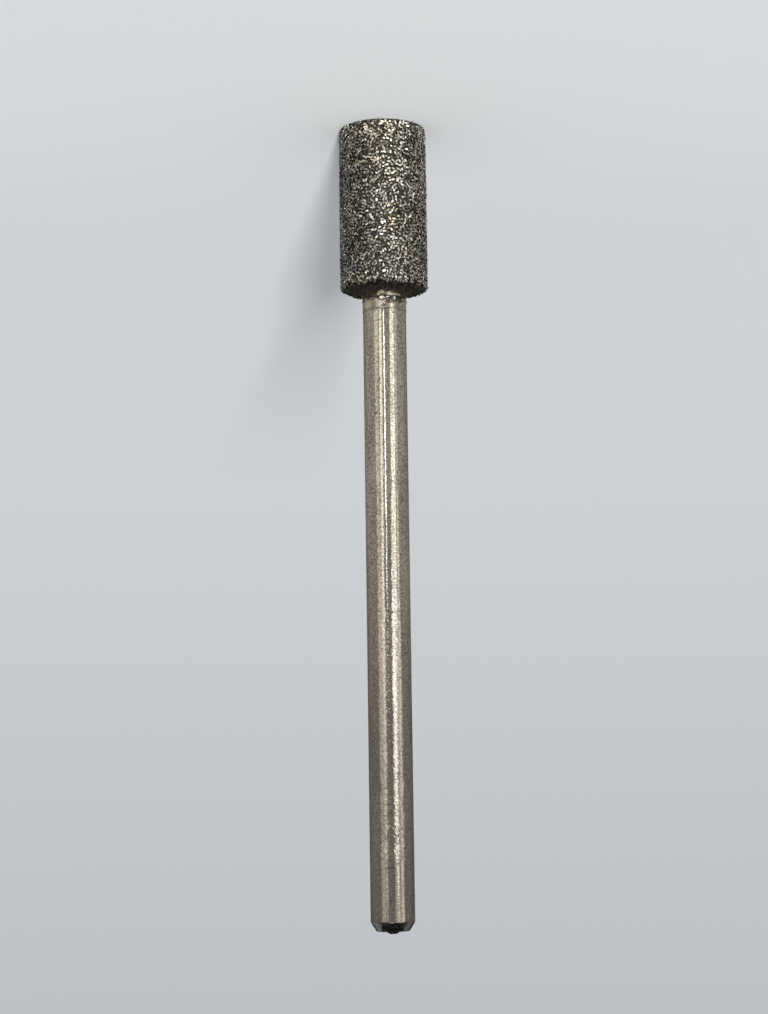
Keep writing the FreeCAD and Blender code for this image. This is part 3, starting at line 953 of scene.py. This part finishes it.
# Tall soft strips that the shank mirrors: turns and heights of foot and head, width and radiance.
STRIPS = [
    ("strip_left", (-47.5, -46.5), (-60, 0), 72, 0.5, WARM),
    ("strip_left_low", (-46.5, -46), (0, 40), 76, 0.66, WARM),
    ("strip_left_end", (-46, -46), (40, 75), 76, 0.46, WARM),
    ("strip_inner", (-22.5, -26), (-60, -8), 46, 1.16, WARM),
    ("strip_inner_low", (-26, -28.5), (-8, 45), 46, 1.5, WARM),
    ("strip_inner_end", (-27, -29), (45, 80), 46, 0.3, WARM),
    ("strip_line", (-6, -6), (-41, 3), 12, 5.6, LINE),
    ("strip_right", (39.6, 35.4), (-60, -20), 76, 1.72, COOL),
    ("strip_right_dim", (35.4, 34), (-20, -7), 76, 1.36, COOL),
    ("strip_right_mid", (34, 32), (-7, 12), 76, 1.54, COOL),
    ("strip_bridge", (42, 41.5), (4, 20), 44, 1.3, COOL),
    ("strip_right_low", (28.2, 25.4), (12, 42), 64, 3.8, COOL),
    ("strip_right_gap", (29, 29), (42, 49.5), 92, 0.36, COOL),
    ("strip_right_end", (30.5, 30.5), (49.5, 90), 104, 0.58, COOL),
    ("strip_outer", (57, 55.6), (-60, -10), 40, 0.4, CLEAR),
    ("strip_outer_mid", (55.6, 54), (-10, 4), 40, 0.5, CLEAR),
    ("strip_outer_low", (57, 54), (4, 75), 56, 1.1, CLEAR),
]
# Soft cards that only metal sees: turn, angle over the floor, width, height and radiance.
CARDS = [
    ("card_low", 3.5, -38, 170, 160, 10.0, CREAM),
    ("card_low_left", -40, -36, 150, 150, 2.6, CREAM),
    ("card_low_right", 54, -36, 150, 150, 5.0, CREAM),
    ("card_high", 5, 36, 170, 90, 1.9, CREAM),
    ("card_left", -119, 44, 110, 110, 0.45, SKY),
    ("card_right", 119, 44, 110, 110, 0.28, SKY),
]
KEY_TURN = 6
KEY_RISE = 12
KEY_STRENGTH = 5.0
KEY_SOFTNESS = 7  # degrees across


def around(turn, distance, height):
    """A point this many degrees round the axis from the camera's side."""
    angle = math.radians(turn)
    return Vector((-distance * math.sin(angle), -distance * math.cos(angle), height)) * MM


def area_light(name, wide, tall, radiance, colour):
    """A rectangle of this size in metres that the camera doesn't see."""
    lamp = bpy.data.lights.new(name, "AREA")
    lamp.shape = "RECTANGLE"
    lamp.size = wide
    lamp.size_y = tall
    lamp.color = colour
    lamp.energy = radiance * math.pi * lamp.size * lamp.size_y
    light = link(name, lamp)
    light.visible_camera = False
    return light


def strip_light(name, turns, heights, width, radiance, colour):
    """A strip whose foot and head stand at two turns round the axis."""
    foot = around(turns[0], STRIP_DISTANCE, heights[0])
    head = around(turns[1], STRIP_DISTANCE, heights[1])
    middle = (foot + head) / 2
    along = (head - foot).normalized()
    away = Vector((middle.x, middle.y, 0)).normalized()
    across = along.cross(away).normalized()
    away = across.cross(along)
    light = area_light(name, width * MM, (head - foot).length, radiance, colour)
    place = Matrix((across, along, away)).transposed().to_4x4()
    place.translation = middle
    light.matrix_world = place


def card_light(name, turn, rise, wide, tall, radiance, colour):
    """A card that faces the bur from this turn and angle above the floor."""
    up = math.radians(rise)
    middle = around(turn, CARD_DISTANCE * math.cos(up), CARD_DISTANCE * math.sin(up))
    light = area_light(name, wide * MM, tall * MM, radiance, colour)
    light.rotation_mode = "QUATERNION"
    light.rotation_quaternion = (-middle).to_track_quat("-Z", "Y")
    light.location = middle
    light.visible_diffuse = False


def key_light():
    """The lamp that throws the shadow; metal doesn't mirror it."""
    lamp = bpy.data.lights.new("key", "SUN")
    lamp.energy = KEY_STRENGTH
    lamp.angle = math.radians(KEY_SOFTNESS)
    light = link("key", lamp)
    towards = -around(KEY_TURN, 1, math.tan(math.radians(KEY_RISE)))
    light.rotation_mode = "QUATERNION"
    light.rotation_quaternion = towards.to_track_quat("-Z", "Y")
    light.visible_glossy = False


def make_lights():
    for strip in STRIPS:
        strip_light(*strip)
    for card in CARDS:
        card_light(*card)
    key_light()


# World and floor

# Painted light: the backdrop is lighter low down and darker higher up.
PALE_LOW = (0.665, 0.692, 0.716)
PALE_HIGH = (0.508, 0.533, 0.552)
# Rises between which the mirrored room changes, and the levels there: from the wall's foot up,
# the upper wall, the ceiling and the near floor, each as a share of what it changes.
ROOM = [(-0.25, 0.1, 0.51, 0.34), (0.1, 0.5, 1.0, 0.3), (0.7, 0.9, 1.0, 0.1),
        (-0.45, -0.28, 0.15, 1.0)]
# The far floor is in shade: how low and how far ahead that lies.
FLOOR_SHADE_RISE = (-0.3, -0.235)
FLOOR_SHADE_AHEAD = (-0.1, 0.4)
BACKDROP_RISE = (-0.36, 0.103)
BACKDROP_FALL = 1.35
BACKDROP_AHEAD = (0.9, 0.98)
SKY_LOW = (0.05, 0.05, 0.05)
SKY_HIGH = (0.44, 0.45, 0.46)
# Painted light: the floor is lighter in front of the bur and darker behind it.
FLOOR_NEAR = (0.855, 0.868, 0.872)
FLOOR_FAR = (0.79, 0.805, 0.82)
FLOOR_REACH = 600
FLOOR_DEPTHS = (-15, 25)  # between the near and the far tone, a painted falloff of light away from the bur
FLOOR_FADE = (25, 160)  # from there the floor fades into the backdrop


def mirrored_room(shading, rise, ahead):
    """How bright metal sees the room: dim, with a dark ceiling and floor."""
    room = shading.range(rise, *ROOM[0])
    for change in ROOM[1:]:
        room = shading.times(room, shading.range(rise, *change))
    low = shading.range(rise, *FLOOR_SHADE_RISE, 1.0, 0.0)
    shade = shading.times(low, shading.range(ahead, *FLOOR_SHADE_AHEAD))
    return shading.times(room, shading.range(shade, 0, 1, 1.0, 0.4))


def make_world():
    """A pale backdrop, darker higher up as a painted falloff of light; in metal it shows behind the
    bur, and a dimmer room elsewhere.
    """
    world = bpy.data.worlds.new("world")
    world.use_nodes = True
    bpy.context.scene.world = world
    shading = Shading(world.node_tree)
    axes = shading.axes(shading.node("ShaderNodeTexCoord", output="Generated"))
    rise, ahead = axes["Z"], axes["Y"]
    fall = shading.range(rise, *BACKDROP_RISE, smooth=False)
    pale = shading.mix(shading.math("POWER", fall, BACKDROP_FALL), PALE_LOW, PALE_HIGH)
    behind = shading.range(ahead, *BACKDROP_AHEAD)
    mirrored = shading.mix(behind, mirrored_room(shading, rise, ahead), pale)
    rays = shading.node("ShaderNodeLightPath").node.outputs
    seen = shading.most(rays["Is Camera Ray"], rays["Is Transmission Ray"])
    sky = shading.mix(shading.range(rise, -0.1, 0.1), SKY_LOW, SKY_HIGH)
    lit = shading.mix(rays["Is Glossy Ray"], sky, mirrored)
    shading.fill(world.node_tree.nodes["Background"], {"Color": shading.mix(seen, lit, pale),
                                                       "Strength": 1.0})


def floor_material():
    """Matt paper, painted lighter in front of the bur and darker behind it, that fades into the
    backdrop away from it.
    """
    material, shading, shader = new_material("floor")
    place = shading.place()
    depth = shading.range(shading.axes(place)["Y"], *FLOOR_DEPTHS)
    tone = shading.mix(depth, FLOOR_NEAR, FLOOR_FAR)
    shading.fill(shader, {"Base Color": tone, "Roughness": 0.9, "Specular IOR Level": 0.0})
    distance = shading.node("ShaderNodeVectorMath", {0: place}, output="Value",
                            operation="LENGTH")
    clear = shading.node("ShaderNodeBsdfTransparent")
    fade = shading.range(distance, *FLOOR_FADE)
    faded = shading.node("ShaderNodeMixShader", {0: fade, 1: shader.outputs[0], 2: clear})
    shading.fill(shading.tree.nodes["Material Output"], {"Surface": faded})
    return material


def make_floor():
    mesh = bpy.data.meshes.new("floor")
    reach = FLOOR_REACH * MM
    mesh.from_pydata([(-reach, -reach, 0), (reach, -reach, 0), (reach, reach, 0),
                      (-reach, reach, 0)], [], [(0, 1, 2, 3)])
    mesh.materials.append(floor_material())
    floor = link("floor", mesh)
    floor.visible_glossy = False
    floor.visible_shadow = False
    floor.visible_diffuse = False


make_blank().data.materials.append(steel_material())
make_bond().data.materials.append(bond_material())
make_grains().data.materials.append(grain_material())
make_beads().data.materials.append(bead_material())
make_floor()
make_world()
make_lights()
make_camera()
bpy.context.scene.view_settings.view_transform = "Standard"
